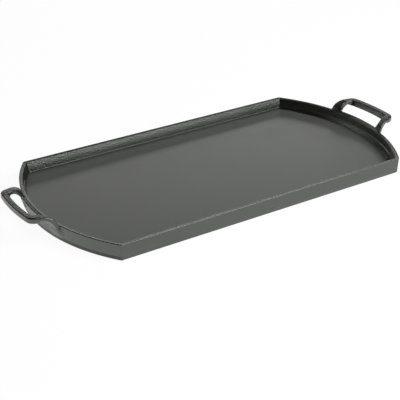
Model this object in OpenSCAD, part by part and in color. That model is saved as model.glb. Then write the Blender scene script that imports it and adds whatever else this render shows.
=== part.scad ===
// Double-burner griddle plate: a shallow cast tray with straight long walls,
// bowed ends and a raised loop handle at each end.
// X runs along the length, Y towards the rear wall, Z up from the underside.

/* [Tray] */
// Width across the outside of the two long walls, at the rim
tray_w = 254; // [220:1:300]
// Length of the long walls, from corner to corner at the rim
corner_l = 406; // [340:1:480]
// How far each bowed end stands out beyond its two corners
end_bow = 42.3; // [34:0.1:50]
// Height of the rim above the underside
rim_h = 21.3; // [18:0.1:26]
// Thickness of the cooking plate
plate_t = 5.6; // [4.5:0.1:7]
// Radius of the rounded edge round the underside
edge_r = 3; // [2:0.1:4.4]

/* [Walls] */
// Width of the flat rim on top of the walls
rim_w = 4.5; // [3:0.1:7]
// How far the outer faces lean in between the rim and the underside
outer_draft = 1; // [0.4:0.1:2]
// How far the inner faces lean in between the rim and the plate
inner_draft = 0.8; // [0.4:0.1:2]
// Radius of the fillet along the foot of the walls
foot_r = 3.5; // [2:0.1:5]
// Height of the shoulder inside each end wall, above the cooking surface
shoulder_h = 5.8; // [4:0.1:8]
// How far the shoulder stands in from the foot of the end wall
shoulder_w = 3; // [2:0.1:6]
// How far the shoulder's top slopes down towards its edge
shoulder_slope = 0.8; // [0.2:0.1:1.5]
// How far the shoulder stops short of the corners, across the width
shoulder_gap = 24; // [16:1:40]

/* [Handles] */
// How far the grip stands out beyond the end wall
handle_reach = 29; // [26:0.5:40]
// Height of the top of the grip above the underside
grip_h = 34.4; // [31:0.1:42]
// Width of the grip bar, seen from above
grip_w = 10; // [8:0.5:12]
// Height of the grip bar
grip_t = 8.2; // [7:0.1:11]
// Radius of the rounded lower edges of the grip bar
grip_round = 3.6; // [2:0.1:3.8]
// Width of the handle across its legs, where the corners of the grip begin
grip_span = 87; // [80:1:100]
// Radius of the outer corners of the grip, seen from above
corner_r = 11; // [6:0.5:14]
// Width of the finger opening, between the legs
opening_w = 68; // [64:1:76]
// How much each leg spreads sideways for each unit of length
leg_splay = 0.3; // [0.1:0.01:0.4]
// How far the legs run level from the grip before they bend down to the wall
leg_level = 4; // [2:0.5:6]
// How far the turn of the legs' curve leans out from the wall
leg_lean = 2.5; // [1:0.1:4]
// Thickness of the legs where they leave the grip
leg_t = 4.6; // [4:0.1:6]
// Thickness of the legs where they meet the rim
root_t = 3.4; // [2.5:0.1:6]
// Distance along the wall that each leg flares over at its root
flare = 2.5; // [2:0.5:8]
// How far out from the wall the flare of the legs begins
flare_l = 8; // [5:0.5:10]
// Height of the lowest point of the leg roots above the underside
root_z = 11; // [6:0.1:12]
// Width of the web along the rim, between the legs
root_web = 3.8; // [1.5:0.1:5]
// Height of the edge of that web
web_t = 2; // [2:0.1:4]

/* [Hidden] */
$fn = 96;
iron = [0.22, 0.23, 0.22];
// The bowed ends are arcs through the two corners of that end
end_r = (pow(tray_w / 2, 2) + pow(end_bow, 2)) / (2 * end_bow);
end_x = corner_l / 2 + end_bow - end_r;
corner_angle = asin(tray_w / 2 / end_r);
// The ring and bar shapes run past the corners by this much before they are trimmed
overrun = 10;
bar_l = corner_l + 2 * end_bow + 2 * overrun;
ring_angle = corner_angle + asin(overrun / end_r);
// The wall section, as an inset from the rim's outer edge and a height
plate_inset = outer_draft * (rim_h - plate_t) / rim_h;
foot_inset = rim_w + inner_draft;
// The fillet is sunk by this share of its radius, so that it ends without a feather edge
foot_sink = 0.06;
foot_drop = foot_sink * foot_r;
foot_end = foot_inset + foot_r - sqrt(pow(foot_r, 2) - pow(foot_r - foot_drop, 2));
shoulder_z = plate_t + shoulder_h;
shoulder_half = tray_w / 2 - shoulder_gap;
shoulder_angle = asin(shoulder_half / end_r);
// The handle's section, as a distance from the centre of the end arc and a height
grip_r = end_r + handle_reach;
opening_r = grip_r - grip_w;
bend_r = opening_r - leg_level;
root_inset = outer_draft * (rim_h - root_z) / rim_h;
web_z = rim_h - web_t - root_web;
web_inset = outer_draft * (rim_h - web_z) / rim_h;
curve_steps = 12;
// The handle's plan, measured from the centre of the end arc
corner_y = grip_span / 2 - corner_r;
corner_x = sqrt(pow(grip_r - corner_r, 2) - pow(corner_y, 2));
splay_angle = atan(leg_splay);

// Points along an arc of radius r about c, from angle a to angle b
function arc(c, r, a, b) = [for (i = [0:curve_steps])
    let (angle = a + (b - a) * i / curve_steps) c + r * [cos(angle), sin(angle)]];

// Points along a curve that leaves p towards q and arrives at s from q
function bend(p, q, s) = [for (i = [0:curve_steps])
    let (t = i / curve_steps) pow(1 - t, 2) * p + 2 * t * (1 - t) * q + t * t * s];

// Half width of the handle's outer side at a distance x from the centre of the end arc
function leg_y(x) = corner_y + corner_r / cos(splay_angle) + leg_splay * (corner_x - x);

// Section of a wall: across is the inset from the rim's outer edge, up is the height.
// The first points, up to the top of the inner face, and the last ones, below its foot, are given.
module wall_section(first = [[plate_inset, plate_t], [0, rim_h]], last = []) {
    foot_z = plate_t + foot_r - foot_drop;
    difference() {
        polygon(concat(first, [[rim_w, rim_h], [foot_inset, foot_z], [foot_end, plate_t]], last));
        translate([foot_inset + foot_r, foot_z]) circle(foot_r);
    }
}

// Section of all that lies on or outside a wall's inner face
module outside_section() {
    far = 4 * overrun;
    wall_section([[-far, plate_t - far], [-far, rim_h + far], [rim_w, rim_h + far]],
                 [[foot_end, plate_t - far]]);
}

// Section of the shoulder that stands in from an end wall
module shoulder_section() {
    polygon([[rim_w / 2, plate_t], [rim_w / 2, shoulder_z], [rim_w, shoulder_z],
             [foot_inset + shoulder_w, shoulder_z - shoulder_slope], [foot_inset + shoulder_w, plate_t]]);
}

// A section carried along the side at +Y, for longer than the tray
module side_bar() {
    translate([-bar_l / 2, tray_w / 2, 0]) rotate([90, 0, 90]) linear_extrude(bar_l)
        mirror([1, 0]) children();
}

// A solid of revolution about the centre of the right end's arc, through the angle each side of X
module end_ring(angle) {
    translate([end_x, 0, 0]) rotate(-angle) rotate_extrude(angle = 2 * angle, $fn = 180)
        children();
}

// The space within the right end: a disc of the given section, and all that lies to its left
module within_end(low, high) {
    translate([end_x, 0, 0]) rotate_extrude($fn = 180) children();
    translate([end_x - bar_l, -tray_w, low]) cube([bar_l, 2 * tray_w, high - low]);
}

// Section of the space inside the outer face of an end wall
module inside_section() {
    polygon([[0, plate_t], [0, rim_h], [end_r, rim_h], [end_r - plate_inset, plate_t]]);
}

// Half of the plate's section, with the underside's edge rounded, reaching half across from the middle
module plate_section(half) {
    square([half - edge_r, plate_t]);
    translate([0, edge_r]) square([half, plate_t - edge_r]);
    translate([half - edge_r, edge_r]) intersection() {
        circle(edge_r);
        translate([0, -edge_r]) square(edge_r);
    }
}

module cooking_plate() {
    half_w = tray_w / 2 - plate_inset;
    color(iron) intersection() {
        translate([-bar_l / 2, 0, 0]) rotate([90, 0, 90]) linear_extrude(bar_l) union() {
            plate_section(half_w);
            mirror([1, 0]) plate_section(half_w);
        }
        within_end(0, plate_t) plate_section(end_r - plate_inset);
        mirror([1, 0, 0]) within_end(0, plate_t) plate_section(end_r - plate_inset);
    }
}

module rear_wall() {
    color(iron) intersection() {
        side_bar() wall_section();
        within_end(plate_t, rim_h) inside_section();
        mirror([1, 0, 0]) within_end(plate_t, rim_h) inside_section();
    }
}

module front_wall() {
    mirror([0, 1, 0]) rear_wall();
}

module right_end_wall() {
    color(iron) difference() {
        union() {
            end_ring(ring_angle) translate([end_r, 0]) mirror([1, 0]) wall_section();
            end_ring(shoulder_angle) translate([end_r, 0]) mirror([1, 0]) shoulder_section();
        }
        side_bar() outside_section();
        mirror([0, 1, 0]) side_bar() outside_section();
    }
}

module left_end_wall() {
    mirror([1, 0, 0]) right_end_wall();
}

// Section of the grip bar, with its lower edges rounded
module grip_section() {
    translate([opening_r, grip_h - grip_t]) {
        translate([0, grip_round]) square([grip_w, grip_t - grip_round]);
        translate([grip_round, 0]) square([grip_w - 2 * grip_round, grip_t]);
        for (across = [grip_round, grip_w - grip_round]) translate([across, grip_round]) circle(grip_round);
    }
}

// Section of the handle: a leg that rises from the wall and levels out into the grip bar
module handle_section() {
    top_turn = [end_r + leg_lean, grip_h - leg_lean];
    under_turn = [end_r + root_t + leg_lean, grip_h - leg_t];
    grip_middle = grip_r - grip_w / 2;
    polygon(concat(
        [[end_r - root_inset, root_z]],
        bend([end_r, rim_h], top_turn, [bend_r, grip_h]),
        [[grip_middle, grip_h], [grip_middle, grip_h - leg_t]],
        bend([bend_r, grip_h - leg_t], under_turn, [end_r + root_t, rim_h - root_t])));
    grip_section();
}

// Section of the web that thickens the rim between the legs
module web_section() {
    polygon([[end_r - web_inset, web_z], [end_r, rim_h], [end_r + root_web, rim_h],
             [end_r + root_web, rim_h - web_t]]);
}

// Outline of the handle seen from above, from inside the wall to beyond the grip
module handle_plan() {
    wall_y = leg_y(end_r) + flare;
    wall_x = sqrt(pow(end_r, 2) - pow(wall_y, 2));
    flare_end = wall_x + flare_l;
    side = concat(
        [[wall_x - overrun, wall_y]],
        bend([wall_x, wall_y], [wall_x + flare_l / 4, leg_y(wall_x)], [flare_end, leg_y(flare_end)]),
        arc([corner_x, corner_y], corner_r, 90 - splay_angle, atan2(corner_y, corner_x)),
        [[grip_r + overrun, corner_y]]);
    polygon(concat(side, [for (i = [len(side) - 1:-1:0]) [side[i].x, -side[i].y]]));
}

module right_handle() {
    opening_half = opening_w / 2;
    color(iron) union() {
        intersection() {
            end_ring(corner_angle) handle_section();
            translate([end_x, 0, 0]) linear_extrude(grip_h + overrun) difference() {
                handle_plan();
                intersection() {
                    circle(opening_r, $fn = 180);
                    translate([0, -opening_half]) square([grip_r, opening_w]);
                }
            }
        }
        end_ring(asin(opening_half / end_r)) web_section();
    }
}

module left_handle() {
    mirror([1, 0, 0]) right_handle();
}

cooking_plate();
front_wall();
rear_wall();
left_end_wall();
right_end_wall();
left_handle();
right_handle();
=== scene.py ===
"""Looks of a double-burner griddle plate: a seasoned cast iron tray with two loop handles.

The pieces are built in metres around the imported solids, in the same frame: X along the tray,
Y towards the rear wall, Z up. Insets are measured inwards from the outer edge of the rim,
and a handle's reach is measured outwards from the same edge.
"""
import math

import bpy
import numpy as np
from mathutils import Matrix, Vector


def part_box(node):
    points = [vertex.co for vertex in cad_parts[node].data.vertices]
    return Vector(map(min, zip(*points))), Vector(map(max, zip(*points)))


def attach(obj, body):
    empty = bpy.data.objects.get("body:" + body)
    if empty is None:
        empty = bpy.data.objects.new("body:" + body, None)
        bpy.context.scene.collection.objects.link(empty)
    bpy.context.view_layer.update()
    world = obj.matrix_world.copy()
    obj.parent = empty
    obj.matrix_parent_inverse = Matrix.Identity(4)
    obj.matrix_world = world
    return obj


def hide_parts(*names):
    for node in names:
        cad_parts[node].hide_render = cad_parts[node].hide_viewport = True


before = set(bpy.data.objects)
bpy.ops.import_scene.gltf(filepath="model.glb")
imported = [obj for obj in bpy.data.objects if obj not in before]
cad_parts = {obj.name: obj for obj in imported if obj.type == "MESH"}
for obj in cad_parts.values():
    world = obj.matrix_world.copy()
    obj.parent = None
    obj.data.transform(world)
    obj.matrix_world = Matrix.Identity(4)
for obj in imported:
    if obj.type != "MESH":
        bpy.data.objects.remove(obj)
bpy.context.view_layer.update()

MM = 0.001

# Sizes of the tray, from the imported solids
plate_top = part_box("cooking_plate")[1].z
rim_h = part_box("rear_wall")[1].z
half_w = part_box("rear_wall")[1].y
half_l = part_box("right_end_wall")[1].x
grip_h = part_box("right_handle")[1].z
grip_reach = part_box("right_handle")[1].x - half_l

# Sizes of the tray that the boxes don't give
CORNER_L = 406 * MM
CORNER_OUT_R = 3.5 * MM
CORNER_IN_R = 2.5 * MM
EDGE_R = 3 * MM
OUTER_DRAFT = 1 * MM
INNER_DRAFT = 2.7 * MM
RIM_W = 4.5 * MM
RIM_FALL = 0.7 * MM
RIM_OUT_R = 0.8 * MM
RIM_IN_R = 1.3 * MM

# The bowed ends are arcs through the corners
end_bow = half_l - CORNER_L / 2
end_r = (half_w ** 2 + end_bow ** 2) / (2 * end_bow)
end_x = half_l - end_r


# Outlines of the tray

CORNER_STEPS = 8
SIDE_STEPS = 40
END_STEPS = 72


def corner(inset):
    """Centre, radius and first angle of the rear right corner's arc, at an inset from the rim."""
    radius = max(CORNER_OUT_R - inset, CORNER_IN_R)
    y = half_w - inset - radius
    x = end_x + math.sqrt((end_r - inset - radius) ** 2 - y ** 2)
    return x, y, radius, math.atan2(y, x - end_x)


def arc(x, y, radius, first, last, steps):
    """Points along an arc about a centre, between two angles."""
    angles = np.linspace(first, last, steps + 1)
    return np.column_stack([x + radius * np.cos(angles), y + radius * np.sin(angles)])


def side_path(inset):
    """The rear wall's line, from the middle of the right corner to the middle of the left one."""
    x, y, radius, first = corner(inset)
    middle = (first + math.pi / 2) / 2
    right = arc(x, y, radius, middle, math.pi / 2, CORNER_STEPS)
    straight = np.column_stack([np.linspace(x, -x, SIDE_STEPS + 1), np.full(SIDE_STEPS + 1, y + radius)])
    left = right[::-1] * (-1, 1)
    return np.vstack([right[:-1], straight, left[1:]])


def end_path(inset):
    """The right end wall's line, from the middle of the front corner to the middle of the rear one."""
    x, y, radius, first = corner(inset)
    middle = (first + math.pi / 2) / 2
    rear = arc(x, y, radius, first, middle, CORNER_STEPS)
    front = rear[::-1] * (1, -1)
    bow = arc(end_x, 0, end_r - inset, -first, first, END_STEPS)
    return np.vstack([front[:-1], bow, rear[1:]])


def outline(inset):
    """The whole outline at an inset, anticlockwise from the middle of the front right corner."""
    end = end_path(inset)
    side = side_path(inset)
    return np.vstack([end[:-1], side[:-1], -end[:-1], -side[:-1]])


def draft(z):
    """Inset of the outer face at a height."""
    return OUTER_DRAFT * (rim_h - z) / rim_h


# Making meshes

SMOOTH_ANGLE = math.radians(40)
PEBBLE_LAYER = "pebble"


def make_piece(name, verts, faces, node, pebble=None):
    """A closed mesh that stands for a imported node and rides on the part's one body."""
    mesh = bpy.data.meshes.new(name)
    mesh.from_pydata([tuple(v) for v in verts], [], [tuple(f) for f in faces])
    mesh.validate()
    if pebble is not None:
        layer = mesh.attributes.new(PEBBLE_LAYER, "FLOAT", "POINT")
        layer.data.foreach_set("value", np.asarray(pebble, np.float32))
    mesh.shade_smooth()
    mesh.set_sharp_from_angle(angle=SMOOTH_ANGLE)
    piece = bpy.data.objects.new(name, mesh)
    bpy.context.scene.collection.objects.link(piece)
    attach(piece, "root")
    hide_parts(node)
    return piece


def strip_faces(rows, columns):
    """Quads over rows of points, where each row closes on itself."""
    faces = []
    for i in range(rows - 1):
        for j in range(columns):
            k = (j + 1) % columns
            faces.append((i * columns + j, (i + 1) * columns + j, (i + 1) * columns + k, i * columns + k))
    return faces


def mirrored(verts, faces, axis):
    """The same mesh mirrored across the middle plane of an axis, with its faces still outwards."""
    flip = np.ones(3)
    flip[axis] = -1
    return verts * flip, [tuple(reversed(f)) for f in faces]


def rounded(corners, steps=6):
    """Runs of points, one run for each corner (across, up, radius) of a polygon."""
    runs = []
    for index, (x, y, radius) in enumerate(corners):
        here = np.array((x, y))
        if radius == 0:
            runs.append(here[None])
            continue
        before = np.array(corners[index - 1][:2]) - here
        after = np.array(corners[(index + 1) % len(corners)][:2]) - here
        before = before / np.linalg.norm(before)
        after = after / np.linalg.norm(after)
        half = math.acos(np.clip(before @ after, -1, 1)) / 2
        middle = (before + after) / np.linalg.norm(before + after)
        center = here + middle * radius / math.sin(half)
        first = here + before * radius / math.tan(half) - center
        last = here + after * radius / math.tan(half) - center
        turn = math.atan2(first[0] * last[1] - first[1] * last[0], first @ last)
        angles = np.linspace(0, turn, steps + 1)
        runs.append(center + np.column_stack([first[0] * np.cos(angles) - first[1] * np.sin(angles),
                                              first[0] * np.sin(angles) + first[1] * np.cos(angles)]))
    return runs


def smooth_step(value, low, high):
    """A soft rise from 0 at low to 1 at high."""
    t = np.clip((value - low) / (high - low), 0, 1)
    return t * t * (3 - 2 * t)


# The cooking plate

# Insets of the rings across the floor and the underside
PLATE_RINGS = [12 * MM, 25 * MM, 50 * MM, 75 * MM, 100 * MM, 115 * MM]
EDGE_STEPS = 8


def plate_profile():
    """Insets and heights from the middle of the underside, round the edge, to the middle of the top."""
    base = draft(plate_top)
    under = [(inset, 0) for inset in reversed(PLATE_RINGS)]
    edge = []
    for step in range(EDGE_STEPS + 1):
        angle = math.pi / 2 * step / EDGE_STEPS
        edge.append((base + EDGE_R * (1 - math.sin(angle)), EDGE_R * (1 - math.cos(angle))))
    top = [(inset, plate_top) for inset in [base] + PLATE_RINGS]
    return under + edge + top


def ring(inset, z):
    """The tray's outline at an inset and a height."""
    line = outline(inset)
    return np.column_stack([line, np.full(len(line), z)])


def build_plate():
    """The floor of the tray, as rings with a cap below and one above."""
    rings = [ring(inset, z) for inset, z in plate_profile()]
    count = len(rings[0])
    faces = [tuple(reversed(f)) for f in strip_faces(len(rings), count)]
    last = (len(rings) - 1) * count
    faces.append(tuple(range(count))[::-1])
    faces.append(tuple(range(last, last + count)))
    return make_piece("cooking_plate_iron", np.vstack(rings), faces, "cooking_plate")


# The walls

# Depths of a wall's foot, of its heel and of the shoulder's toe below the floor
WALL_SINK = 0.2 * MM
HEEL_SINK = WALL_SINK / 4
TOE_SINK = WALL_SINK / 8

# A long wall's inner face: its bend below the rim, then a bead and a groove above the floor
SIDE_BEND_BACK = 0.1 * MM
SIDE_BEND_Z = 7.5 * MM
SIDE_BEND_R = 22 * MM
BEAD_Z = 2.3 * MM
BEAD_W = 0.35 * MM
BEAD_TOP_R = 0.5 * MM
BEAD_R = 0.25 * MM
GROOVE_Z = 1.9 * MM
GROOVE_R = 0.1 * MM
GROOVE_DEEP = 2.2 * MM

# An end wall's inner face: its bend below the rim, then the shoulder
END_BEND_IN = 0.4 * MM
END_BEND_Z = 5 * MM
END_BEND_R = 14 * MM
SHOULDER_Z = 5.9 * MM
SHOULDER_FALL = 0.8 * MM
SHOULDER_BACK = 5.4 * MM
SHOULDER_BACK_R = 0.5 * MM
SHOULDER_IN = 6.6 * MM
SHOULDER_IN_R = 0.9 * MM
SHOULDER_FOOT = 8.3 * MM
SHOULDER_FOOT_R = 0.8 * MM
SHOULDER_TOE = 1 * MM
SHOULDER_GAP = 24 * MM
SHOULDER_RUN = 7 * MM

# How pebbled a wall is, what the inner face adds to that, and the share of both on an end wall
PEBBLE_OUTSIDE = 0.12
PEBBLE_INSIDE = 0.88
PEBBLE_ON_ENDS = 0.3

# Where the inner face's pebbles begin: across the rim's edge, and between two heights over the floor
PEBBLE_RIM_RUN = 1 * MM
PEBBLE_FROM = 0.5 * MM
PEBBLE_FULL = 2 * MM

# Distance of the extra points from a bend, and the largest share of a stretch that it may be
SUPPORT = 0.25 * MM
SUPPORT_SHARE = 0.3


def supported(runs):
    """The points of all runs, with two more on each straight stretch, close to its ends."""
    points = []
    for index, run in enumerate(runs):
        first = run[-1]
        last = runs[(index + 1) % len(runs)][0]
        share = min(SUPPORT / np.linalg.norm(last - first), SUPPORT_SHARE)
        points.append(run)
        points.append(np.array([first + (last - first) * share, last - (last - first) * share]))
    return np.vstack(points)


def side_face():
    """Corners of a long wall's inner face, from below the rim, over the bead and into the groove."""
    foot = RIM_W + INNER_DRAFT
    bead = plate_top + BEAD_Z
    groove = plate_top + GROOVE_Z
    return [
        (foot - SIDE_BEND_BACK, rim_h - SIDE_BEND_Z, SIDE_BEND_R),
        (foot, bead + BEAD_W, BEAD_TOP_R),
        (foot + BEAD_W, bead, BEAD_R),
        (foot + BEAD_W, groove, GROOVE_R),
        (foot - GROOVE_DEEP, groove, 0),
    ]


def end_face():
    """Corners of an end wall's inner face, from below the rim, over the shoulder to its toe."""
    step_z = plate_top + SHOULDER_Z
    return [
        (RIM_W + END_BEND_IN, rim_h - END_BEND_Z, END_BEND_R),
        (SHOULDER_BACK, step_z + SHOULDER_FALL, SHOULDER_BACK_R),
        (SHOULDER_IN, step_z, SHOULDER_IN_R),
        (SHOULDER_FOOT, plate_top, SHOULDER_FOOT_R),
        (SHOULDER_FOOT + SHOULDER_TOE, plate_top - TOE_SINK, 0),
    ]


def wall_profile(face):
    """A wall's section as insets and heights, from the outer foot over the rim and down an inner face."""
    rim = [(draft(plate_top), plate_top, 0), (0, rim_h, RIM_OUT_R), (RIM_W, rim_h - RIM_FALL, RIM_IN_R)]
    end = face[-1][0]
    low = plate_top - WALL_SINK
    sunk = [(end, plate_top - HEEL_SINK, 0), (end, low, 0), (RIM_W, low, 0)]
    return supported(rounded(rim + face + sunk))


def shoulder_share(y):
    """How much of the shoulder an end wall has at a distance from the middle of the end."""
    return smooth_step(half_w - SHOULDER_GAP + SHOULDER_RUN / 2 - abs(y), 0, SHOULDER_RUN)


def wall_pebble(inset, z):
    """How pebbled a wall's skin is: rough on the inner face, smoother on the rim and outside."""
    past_rim = smooth_step(inset, RIM_W - PEBBLE_RIM_RUN, RIM_W)
    above_foot = smooth_step(z, plate_top + PEBBLE_FROM, plate_top + PEBBLE_FULL)
    return PEBBLE_OUTSIDE + PEBBLE_INSIDE * (past_rim * above_foot)


def wall_mesh(path, shouldered):
    """A wall's section carried along a path, with its two ends closed, and how pebbled each point is."""
    plain = wall_profile(side_face())
    stepped = wall_profile(end_face()) if shouldered else plain
    lines = np.array([path(inset) for inset in plain[:, 0]])
    step_lines = np.array([path(inset) for inset in stepped[:, 0]])
    count, stations = lines.shape[:2]
    share = shoulder_share(lines[0, :, 1]) if shouldered else np.zeros(stations)
    place = lines + (step_lines - lines) * share[None, :, None]
    height = plain[:, 1, None] + (stepped[:, 1] - plain[:, 1])[:, None] * share
    verts = np.concatenate([place, height[:, :, None]], axis=2).transpose(1, 0, 2).reshape(-1, 3)
    faces = strip_faces(stations, count)
    faces.append(tuple(range(count)))
    faces.append(tuple(range((stations - 1) * count, stations * count))[::-1])
    calm = PEBBLE_ON_ENDS if shouldered else 1
    pebble = np.tile(wall_pebble(plain[:, 0], plain[:, 1]) * calm, stations)
    return verts, faces, pebble


def build_walls():
    """The rear and right walls, and their mirror images at the front and on the left."""
    walls = []
    verts, faces, pebble = wall_mesh(side_path, False)
    walls.append(make_piece("rear_wall_iron", verts, faces, "rear_wall", pebble))
    verts, faces = mirrored(verts, faces, 1)
    walls.append(make_piece("front_wall_iron", verts, faces, "front_wall", pebble))
    verts, faces, pebble = wall_mesh(end_path, True)
    walls.append(make_piece("right_end_wall_iron", verts, faces, "right_end_wall", pebble))
    verts, faces = mirrored(verts, faces, 0)
    walls.append(make_piece("left_end_wall_iron", verts, faces, "left_end_wall", pebble))
    return walls


# The handles are one smooth field each: a side view of leg and grip, cut to an outline seen from above

# The grip and the opening behind it, with the reaches between which a leg becomes the grip
GRIP_W = 11 * MM
GRIP_T = 8.2 * MM
GRIP_FALL = 0.9 * MM
GRIP_SLANT = 3.6 * MM
GRIP_SPAN = 87 * MM
GRIP_CORNER_R = 11 * MM
GRIP_NOTCH = 1 * MM
GRIP_NOTCH_R = 1.5 * MM
GRIP_FROM = 13 * MM
GRIP_FULL = 19 * MM
OPENING_HALF = 34 * MM
OPENING_R = 3 * MM
INNER_SPLAY = 0.12

# The legs
LEG_T = 4.6 * MM
LEG_SPLAY = 0.3
LEG_SLANT = 4.2 * MM
LEG_SLANT_RUN = 20 * MM
LEG_LEVEL = 4 * MM
LEG_LEAN = 2.5 * MM
LEG_SAG = 0.7 * MM

# The roots, where the legs run into the wall
ROOT_T = 2.6 * MM
ROOT_TURN = 7.5 * MM
ROOT_FALL = 1.7 * MM
ROOT_Z = 11 * MM
ROOT_IN = 1.5 * MM
ROOT_LIP = 1 * MM

# How far the side view runs on past the grip, and the outline inside the rim
PAST_GRIP = 12 * MM
PAST_RIM = 20 * MM

# The web along the outside of the rim, from leg to leg
WEB_REACH = 3.5 * MM
WEB_T = 1.8 * MM
WEB_DROP = 0.4 * MM
WEB_STEEP = 2
WEB_IN = 3 * MM
WEB_LOW_R = 0.6 * MM
WEB_TOP_R = 0.8 * MM
WEB_SIDE = 3 * MM
WEB_SIDE_R = 1 * MM

# Rounds in the hollows at the wall, on the rim and at the web, and the heights where the first gives way
BLEND_SIDE = 7 * MM
BLEND_TOP = 1.2 * MM
BLEND_WEB = 2 * MM
BLEND_BELOW_RIM = 9 * MM
BLEND_ABOVE_RIM = 1 * MM

# Rounds of the handle's edges: at the top and below, on the legs and on the grip
OUTER_ROUNDS = ((1.8 * MM, 0.8 * MM), (1.8 * MM, 3 * MM))
INNER_ROUNDS = ((1 * MM, 0.6 * MM), (1.2 * MM, 1.6 * MM))
ROUNDS_RUN = 1 * MM

# How deep a handle's mesh goes into the wall and in from the rim, and where it ends on the wall's face
BURIED_DEEP = 1.2 * MM
BURIED_IN = 3.4 * MM
FEATHER = 0.02 * MM
FEATHER_SLOPE = 4

# The grid that a handle is sampled on. At this cell size, each edge of the mesh has two faces.
GRID = 0.607 * MM
GRID_IN = 4 * MM
GRID_SIDE = 64 * MM
GRID_MARGIN = 2 * MM

# How pebbled a handle is, what its top adds to that, and the upward slopes between which it does
HANDLE_PEBBLE = 0.2
HANDLE_PEBBLE_TOP = 0.4
PEBBLE_SLOPES = (0.2, 0.9)

# Guards against dividing by nothing
NO_LENGTH = 1e-9
NO_SLOPE = 1e-6

BOW_STEPS = 10
TURN_STEPS = 14


def bend(first, turn, last, steps=14):
    """Points along a curve that leaves first towards turn and arrives at last from turn."""
    t = np.linspace(0, 1, steps + 1)[:, None]
    return (1 - t) ** 2 * np.array(first) + 2 * t * (1 - t) * np.array(turn) + t * t * np.array(last)


def polygon_distance(points, x, y):
    """Signed distance from each place to a closed polygon, below zero inside."""
    best = np.full(x.shape, np.inf)
    inside = np.zeros(x.shape, bool)
    for a, b in zip(points, np.roll(points, -1, axis=0)):
        edge = b - a
        along = (x - a[0]) * edge[0] + (y - a[1]) * edge[1]
        t = np.clip(along / max(edge @ edge, NO_LENGTH ** 2), 0, 1)
        best = np.minimum(best, (x - a[0] - t * edge[0]) ** 2 + (y - a[1] - t * edge[1]) ** 2)
        if a[1] != b[1]:
            crosses = (a[1] > y) != (b[1] > y)
            inside ^= crosses & (x < a[0] + (y - a[1]) * edge[0] / edge[1])
    return np.where(inside, -1, 1) * np.sqrt(best)


def common(a, b, radius):
    """What two fields share, with the edge between them rounded."""
    outside = np.hypot(np.maximum(a + radius, 0), np.maximum(b + radius, 0))
    return np.minimum(-radius, np.maximum(a, b)) + outside


def joined(a, b, radius):
    """Two fields together, with the hollow between them filled by a round."""
    inside = np.hypot(np.maximum(radius - a, 0), np.maximum(radius - b, 0))
    return np.maximum(radius, np.minimum(a, b)) - inside


def leg_top():
    """The line of a leg's top from the rim up to the grip, as reach and height."""
    level_z = grip_h - GRIP_FALL
    return bend((0, rim_h), (LEG_LEAN, level_z - LEG_LEAN), (grip_reach - GRIP_W - LEG_LEVEL, level_z))


def handle_section():
    """Side view of a leg and the grip, as reach and height, running on past the grip's outer face."""
    grip_in = grip_reach - GRIP_W
    level = grip_in - LEG_LEVEL
    past = grip_reach + PAST_GRIP
    past_z = grip_h + GRIP_FALL * (past - grip_reach) / (grip_reach - level)
    low = grip_h - GRIP_T
    under_z = grip_h - GRIP_FALL - LEG_T
    root_z = rim_h - ROOT_IN
    grip = [
        (level, grip_h - GRIP_FALL, 0),
        (past, past_z, 0),
        (past, low, 0),
        (grip_in, low, INNER_ROUNDS[1][1]),
        (grip_in - GRIP_NOTCH, under_z, GRIP_NOTCH_R),
        (level, under_z, 0),
    ]
    grip = np.vstack(rounded(grip))[1:-1]
    under = bend((level, under_z), (ROOT_TURN, under_z - LEG_SAG), (ROOT_T, rim_h - ROOT_T - ROOT_FALL))
    foot = [(-draft(ROOT_Z), ROOT_Z), (-ROOT_IN, ROOT_Z), (-ROOT_IN, root_z), (-ROOT_LIP, root_z)]
    return np.vstack([leg_top(), grip, under, foot])


def loop_outline(outer_r, half, round_r, splay):
    """A loop seen from above, about the centre of the end's arc: a bow and straight, splayed sides."""
    y = half - round_r
    x = math.sqrt((outer_r - round_r) ** 2 - y ** 2)
    start = math.atan2(y, x)
    bow = arc(0, 0, outer_r, 0, start, BOW_STEPS)
    turn = arc(x, y, round_r, start, math.pi / 2 - math.atan(splay), TURN_STEPS)
    root_x = end_r - PAST_RIM
    root_y = turn[-1][1] + splay * (turn[-1][0] - root_x)
    upper = np.vstack([bow, turn[1:], [(root_x, root_y)]])
    return np.vstack([upper, (upper * (1, -1))[::-1][:-1]])


def mixed(rounds, on_grip, below):
    """A round between the four of an edge: at the top and below, on the legs and on the grip."""
    (leg_high, leg_low), (grip_high, grip_low) = rounds
    leg = leg_high + (leg_low - leg_high) * below
    grip = grip_high + (grip_low - grip_high) * below
    return leg + (grip - leg) * on_grip


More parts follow.
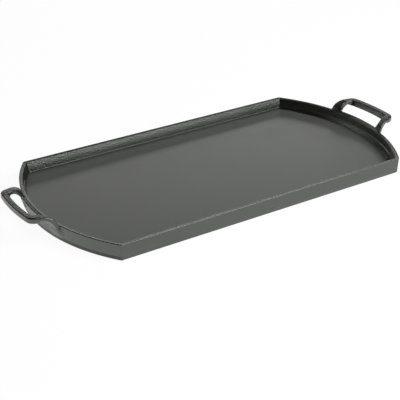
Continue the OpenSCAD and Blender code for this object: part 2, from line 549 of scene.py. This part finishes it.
def loop_field(reach, x, y, z):
    """The legs and the grip, with the inner sides slanted and the edges rounded: below zero inside."""
    on_grip = smooth_step(reach, GRIP_FROM, GRIP_FULL)
    middle = np.interp(reach, *leg_top().T) - (LEG_T + (GRIP_T - LEG_T) * on_grip) / 2
    below = smooth_step(middle - z, -ROUNDS_RUN, ROUNDS_RUN)
    slab = polygon_distance(handle_section(), reach, z)
    outer = loop_outline(end_r + grip_reach, GRIP_SPAN / 2, GRIP_CORNER_R, LEG_SPLAY)
    outer = polygon_distance(outer, x, y)
    near_root = 1 - smooth_step(reach, 0, LEG_SLANT_RUN)
    slant = LEG_SLANT * near_root * np.clip((z - middle) / LEG_T + 0.5, 0, 1) * (1 - on_grip)
    splay = INNER_SPLAY * np.maximum(grip_reach - GRIP_W - reach, 0)
    narrowed = np.sign(y) * np.maximum(np.abs(y) - slant - splay, 0)
    shortened = x - GRIP_SLANT * np.clip((z - grip_h) / GRIP_T + 1, 0, 1) * on_grip
    opening = loop_outline(end_r + grip_reach - GRIP_W, OPENING_HALF, OPENING_R, 0)
    opening = polygon_distance(opening, shortened, narrowed)
    loop = common(slab, outer, mixed(OUTER_ROUNDS, on_grip, below))
    return common(loop, -opening, mixed(INNER_ROUNDS, on_grip, below))


def web_field(reach, y, z):
    """The web along the outside of the rim: below zero inside."""
    top = rim_h - WEB_DROP
    low = top - WEB_T - WEB_STEEP * WEB_REACH
    section = rounded([
        (-WEB_IN, low, 0),
        (-draft(low), low, 0),
        (WEB_REACH, top - WEB_T, WEB_LOW_R),
        (WEB_REACH, top, WEB_TOP_R),
        (-WEB_IN, top, 0),
    ])
    web = polygon_distance(np.vstack(section), reach, z)
    return common(web, np.abs(y) - OPENING_HALF - WEB_SIDE, WEB_SIDE_R)


def wall_field(reach, z):
    """The end wall, with its drafted outer face, its sloping rim and the round between them."""
    rim = z - rim_h - RIM_FALL * reach / RIM_W
    return common(reach + draft(z), rim, RIM_OUT_R)


def handle_field(reach, side, z):
    """The handle with its roots blended into the end wall, where side runs along the wall's arc."""
    turn = side / end_r
    x = (end_r + reach) * np.cos(turn)
    y = (end_r + reach) * np.sin(turn)
    loop = loop_field(reach, x, y, z)
    wall = wall_field(reach, z)
    above = smooth_step(z, rim_h - BLEND_BELOW_RIM, rim_h + BLEND_ABOVE_RIM)
    whole = joined(loop, wall, BLEND_SIDE + (BLEND_TOP - BLEND_SIDE) * above)
    whole = np.minimum(whole, joined(loop, web_field(reach, y, z), BLEND_WEB))
    rise = whole - wall
    buried = np.maximum(-(wall + BURIED_DEEP), -(reach + BURIED_IN))
    return np.maximum(np.maximum(whole, buried), (rise + FEATHER) * FEATHER_SLOPE)


def surface_of(field, axes):
    """Quads over the surface where a sampled field passes zero, with one point in each crossed cell."""
    shape = np.array(field.shape) - 1
    total = np.zeros((*shape, 3))
    count = np.zeros(shape)
    crossings = []
    for axis in range(3):
        low = np.moveaxis(field, axis, 0)[:-1]
        high = np.moveaxis(field, axis, 0)[1:]
        crossed = (low < 0) != (high < 0)
        i, j, k = np.nonzero(crossed)
        share = low[i, j, k] / (low[i, j, k] - high[i, j, k])
        place = np.zeros((len(i), 3))
        others = [a for a in range(3) if a != axis]
        place[:, axis] = i + share
        place[:, others[0]] = j
        place[:, others[1]] = k
        cells = []
        for dj, dk in ((-1, -1), (0, -1), (0, 0), (-1, 0)):
            cell = np.zeros((len(i), 3), int)
            cell[:, axis] = i
            cell[:, others[0]] = j + dj
            cell[:, others[1]] = k + dk
            np.add.at(total, tuple(cell.T), place)
            np.add.at(count, tuple(cell.T), 1)
            cells.append(cell)
        crossings.append((axis, low[i, j, k] < 0, cells))
    number = np.full(shape, -1)
    filled = count > 0
    number[filled] = np.arange(filled.sum())
    verts = total[filled] / count[filled][:, None]
    step = np.array([a[1] - a[0] for a in axes])
    verts = verts * step + np.array([a[0] for a in axes])
    faces = []
    for axis, leaves, cells in crossings:
        quad = np.stack([number[tuple(c.T)] for c in cells], axis=1)
        outward = leaves if axis != 1 else ~leaves
        faces.append(np.where(outward[:, None], quad, quad[:, ::-1]))
    return verts, np.vstack(faces)


def slope_of(field, verts, h=0.05 * MM):
    """The slope of a field at each point."""
    slope = np.zeros_like(verts)
    for axis in range(3):
        step = np.zeros(3)
        step[axis] = h
        slope[:, axis] = (field(*(verts + step).T) - field(*(verts - step).T)) / (2 * h)
    return slope


def settle(verts, field, rounds=4, reach=0.25 * MM):
    """Moves points onto the surface of a field, along its slope and no further than reach at a time."""
    for _ in range(rounds):
        slope = slope_of(field, verts)
        move = -slope * (field(*verts.T) / np.maximum((slope ** 2).sum(1), NO_SLOPE))[:, None]
        length = np.linalg.norm(move, axis=1)
        verts = verts + move * np.minimum(1, reach / np.maximum(length, NO_LENGTH))[:, None]
    return verts


def build_handles():
    """The right handle's mesh, on a grid that bends with the end wall, and its mirror image."""
    reach = np.arange(-GRID_IN, grip_reach + GRID_MARGIN, GRID)
    side = np.arange(-GRID_SIDE, GRID_SIDE, GRID)
    z = np.arange(0, grip_h + GRID_MARGIN, GRID)
    grid = np.meshgrid(reach, side, z, indexing="ij")
    verts, faces = surface_of(handle_field(*grid), (reach, side, z))
    verts = settle(verts, handle_field)
    facing_up = slope_of(handle_field, verts)[:, 2]
    pebble = HANDLE_PEBBLE + HANDLE_PEBBLE_TOP * smooth_step(facing_up, *PEBBLE_SLOPES)
    turn = verts[:, 1] / end_r
    radius = end_r + verts[:, 0]
    verts = np.column_stack([end_x + radius * np.cos(turn), radius * np.sin(turn), verts[:, 2]])
    right = make_piece("right_handle_iron", verts, faces, "right_handle", pebble)
    verts, faces = mirrored(verts, faces, 0)
    left = make_piece("left_handle_iron", verts, faces, "left_handle", pebble)
    return [left, right]


# Materials

# Tone, gloss and roughness of the smooth floor, and of the casting skin on the walls and the handles
PLATE_TONE = (0.112, 0.1166, 0.1093)
PLATE_GLOSS = 0.68
PLATE_ROUGHNESS = 0.4
SKIN_TONE = (0.0042, 0.0044, 0.0041)
SKIN_GLOSS = 1.48
WALL_ROUGHNESS = 0.32
HANDLE_ROUGHNESS = 0.33
GLOSS_TINT = (0.945, 1, 0.915, 1)

# Height and grain size of the fine skin, and of the pebbles under it
PLATE_SKIN = (0.02 * MM, 9 * MM)
CAST_SKIN = (0.03 * MM, 1.6 * MM)
WALL_PEBBLES = (1 * MM, 1.8 * MM)
HANDLE_PEBBLES = (0.9 * MM, 1.8 * MM)
GRAIN_DETAIL = 2

# Mottling: its noise, the noise's middle, the shares of the tone there and the spread of the roughness
MOTTLE_SIZE = 22 * MM
MOTTLE_DETAIL = 5
NOISE_MIDDLE = (0.3, 0.7)
MOTTLE_SHARES = (0.94, 1.06)
MOTTLE_ROUGHNESS = 0.03


def add_noise(tree, size, detail):
    """A noise of a given grain size over the piece."""
    noise = tree.nodes.new("ShaderNodeTexNoise")
    noise.inputs["Scale"].default_value = 1 / size
    noise.inputs["Detail"].default_value = detail
    place = tree.nodes.new("ShaderNodeTexCoord")
    tree.links.new(place.outputs["Object"], noise.inputs["Vector"])
    return noise.outputs["Fac"]


def remap(tree, value, low, high):
    """Spreads the middle of a noise over a range."""
    spread = tree.nodes.new("ShaderNodeMapRange")
    spread.inputs["From Min"].default_value = NOISE_MIDDLE[0]
    spread.inputs["From Max"].default_value = NOISE_MIDDLE[1]
    spread.inputs["To Min"].default_value = low
    spread.inputs["To Max"].default_value = high
    tree.links.new(value, spread.inputs["Value"])
    return spread.outputs["Result"]


def add_bump(tree, height, distance, strength=None, under=None):
    """A bump from a height, on top of another one where given."""
    bump = tree.nodes.new("ShaderNodeBump")
    bump.inputs["Distance"].default_value = distance
    tree.links.new(height, bump.inputs["Height"])
    if strength is not None:
        tree.links.new(strength, bump.inputs["Strength"])
    if under is not None:
        tree.links.new(under, bump.inputs["Normal"])
    return bump.outputs["Normal"]


def add_pebbles(tree, height, size):
    """The pebbles of a casting's skin, as strong as the piece's own layer says."""
    layer = tree.nodes.new("ShaderNodeAttribute")
    layer.attribute_name = PEBBLE_LAYER
    return add_bump(tree, add_noise(tree, size, GRAIN_DETAIL), height, layer.outputs["Fac"])


def seasoned_iron(name, tone, gloss, roughness, skin, pebbles=None):
    """Dark seasoned iron: slight mottling, uneven satin and a fine skin, over pebbles where asked."""
    material = bpy.data.materials.new(name)
    material.use_nodes = True
    tree = material.node_tree
    shader = tree.nodes["Principled BSDF"]
    shader.inputs["Specular IOR Level"].default_value = gloss
    shader.inputs["Specular Tint"].default_value = GLOSS_TINT
    mottle = add_noise(tree, MOTTLE_SIZE, MOTTLE_DETAIL)
    colour = tree.nodes.new("ShaderNodeValToRGB")
    for element, position, share in zip(colour.color_ramp.elements, NOISE_MIDDLE, MOTTLE_SHARES):
        element.position = position
        element.color = [c * share for c in tone] + [1]
    tree.links.new(mottle, colour.inputs["Fac"])
    tree.links.new(colour.outputs["Color"], shader.inputs["Base Color"])
    satin = remap(tree, mottle, roughness - MOTTLE_ROUGHNESS, roughness + MOTTLE_ROUGHNESS)
    tree.links.new(satin, shader.inputs["Roughness"])
    lumps = add_pebbles(tree, *pebbles) if pebbles else None
    skin_height, skin_size = skin
    relief = add_bump(tree, add_noise(tree, skin_size, GRAIN_DETAIL), skin_height, under=lumps)
    tree.links.new(relief, shader.inputs["Normal"])
    return material


def dress(plate, walls, handles):
    """Gives the floor, the walls and the handles their iron."""
    floor_iron = seasoned_iron("seasoned_floor", PLATE_TONE, PLATE_GLOSS, PLATE_ROUGHNESS, PLATE_SKIN)
    wall_iron = seasoned_iron("casting_skin", SKIN_TONE, SKIN_GLOSS, WALL_ROUGHNESS,
                              CAST_SKIN, WALL_PEBBLES)
    handle_iron = seasoned_iron("handle_skin", SKIN_TONE, SKIN_GLOSS, HANDLE_ROUGHNESS,
                                CAST_SKIN, HANDLE_PEBBLES)
    for iron, pieces in ((floor_iron, [plate]), (wall_iron, walls), (handle_iron, handles)):
        for piece in pieces:
            piece.data.materials.append(iron)


# Camera, at the photograph's viewing angle

CAMERA_AZIMUTH = math.radians(-33.254)
CAMERA_ELEVATION = math.radians(27.34)
CAMERA_DISTANCE = 1214.45 * MM
CAMERA_TARGET = Vector((-52.321, -52.297, 1.15)) * MM
CAMERA_LENS = 89.82
SENSOR_W = 36


def place_camera():
    """The camera, at a distance from its target and turned to face it."""
    data = bpy.data.cameras.new("camera")
    data.lens = CAMERA_LENS
    data.sensor_width = SENSOR_W
    camera = bpy.data.objects.new("camera", data)
    bpy.context.scene.collection.objects.link(camera)
    along = math.cos(CAMERA_AZIMUTH)
    across = math.sin(CAMERA_AZIMUTH)
    flat = math.cos(CAMERA_ELEVATION)
    back = Vector((across * flat, -along * flat, math.sin(CAMERA_ELEVATION)))
    right = Vector((along, across, 0))
    up = back.cross(right)
    turn = Matrix((right, up, back)).transposed().to_4x4()
    camera.matrix_world = Matrix.Translation(CAMERA_TARGET + back * CAMERA_DISTANCE) @ turn
    bpy.context.scene.camera = camera


# Stage and light

# The floor reaches this far from the middle, in metres, and lies just clear of the plate
FLOOR_SIZE = 6
FLOOR_Z = -0.1 * MM
FLOOR_TONE = 0.1
FLOOR_GLOW = 0.94
FLOOR_ROUGHNESS = 0.9
ROOM_LEVEL = 0.03

# Soft lamps: place, width and height in metres, and level, the watts for each square metre over pi
LAMPS = {
    "rear_panel": ((0.75, 1.27, 0.56), 1.25, 0.22, 2.5),
    "rear_low_panel": ((0.79, 1.34, 0.27), 1.25, 0.36, 0.5),
    "rear_left_panel": ((-1, 1.11, 0.13), 0.9, 0.24, 3),
    "front_panel": ((0.45, -1.1, 0.17), 1.1, 0.25, 3),
    "key": ((0.65, -0.93, 1.13), 1.2, 0.8, 7),
    "rear_fill": ((-0.18, 1, 1.1), 1, 0.7, 0.3),
}


def calculate(tree, operation, *values):
    """The result of a maths node on sockets or plain numbers."""
    node = tree.nodes.new("ShaderNodeMath")
    node.operation = operation
    for socket, value in zip(node.inputs, values):
        if isinstance(value, (int, float)):
            socket.default_value = value
        else:
            tree.links.new(value, socket)
    return node.outputs[0]


def build_floor():
    """A pale floor that glows for the camera and in reflections, and takes the part's shadow."""
    corners = [(x * FLOOR_SIZE, y * FLOOR_SIZE, FLOOR_Z) for x, y in ((-1, -1), (1, -1), (1, 1), (-1, 1))]
    mesh = bpy.data.meshes.new("floor")
    mesh.from_pydata(corners, [], [(0, 1, 2, 3)])
    floor = bpy.data.objects.new("floor", mesh)
    bpy.context.scene.collection.objects.link(floor)
    material = bpy.data.materials.new("pale_floor")
    material.use_nodes = True
    tree = material.node_tree
    shader = tree.nodes["Principled BSDF"]
    shader.inputs["Base Color"].default_value = (FLOOR_TONE, FLOOR_TONE, FLOOR_TONE, 1)
    shader.inputs["Roughness"].default_value = FLOOR_ROUGHNESS
    shader.inputs["Specular IOR Level"].default_value = 0
    shader.inputs["Emission Color"].default_value = (1, 1, 1, 1)
    path = tree.nodes.new("ShaderNodeLightPath")
    seen = calculate(tree, "MAXIMUM", path.outputs["Is Camera Ray"], path.outputs["Is Glossy Ray"])
    seen = calculate(tree, "MAXIMUM", seen, path.outputs["Is Transmission Ray"])
    glow = calculate(tree, "MULTIPLY", seen, FLOOR_GLOW)
    tree.links.new(glow, shader.inputs["Emission Strength"])
    mesh.materials.append(material)


def build_world():
    """A dim room, which the camera sees as plain white."""
    world = bpy.data.worlds.new("studio")
    bpy.context.scene.world = world
    world.use_nodes = True
    tree = world.node_tree
    background = tree.nodes["Background"]
    background.inputs["Color"].default_value = (1, 1, 1, 1)
    path = tree.nodes.new("ShaderNodeLightPath")
    strength = calculate(tree, "MAXIMUM", path.outputs["Is Camera Ray"], ROOM_LEVEL)
    tree.links.new(strength, background.inputs["Strength"])


def add_lamp(name, place, width, height, level):
    """A soft lamp that faces the middle of the tray and doesn't show itself."""
    data = bpy.data.lights.new(name, "AREA")
    data.shape = "RECTANGLE"
    data.size = width
    data.size_y = height
    data.energy = level * math.pi * width * height
    lamp = bpy.data.objects.new(name, data)
    lamp.location = place
    lamp.rotation_euler = (-Vector(place)).to_track_quat("-Z", "Y").to_euler()
    lamp.visible_camera = False
    bpy.context.scene.collection.objects.link(lamp)


place_camera()
plate = build_plate()
walls = build_walls()
handles = build_handles()
dress(plate, walls, handles)
build_floor()
build_world()
for name, settings in LAMPS.items():
    add_lamp(name, *settings)
bpy.context.scene.view_settings.view_transform = "Standard"
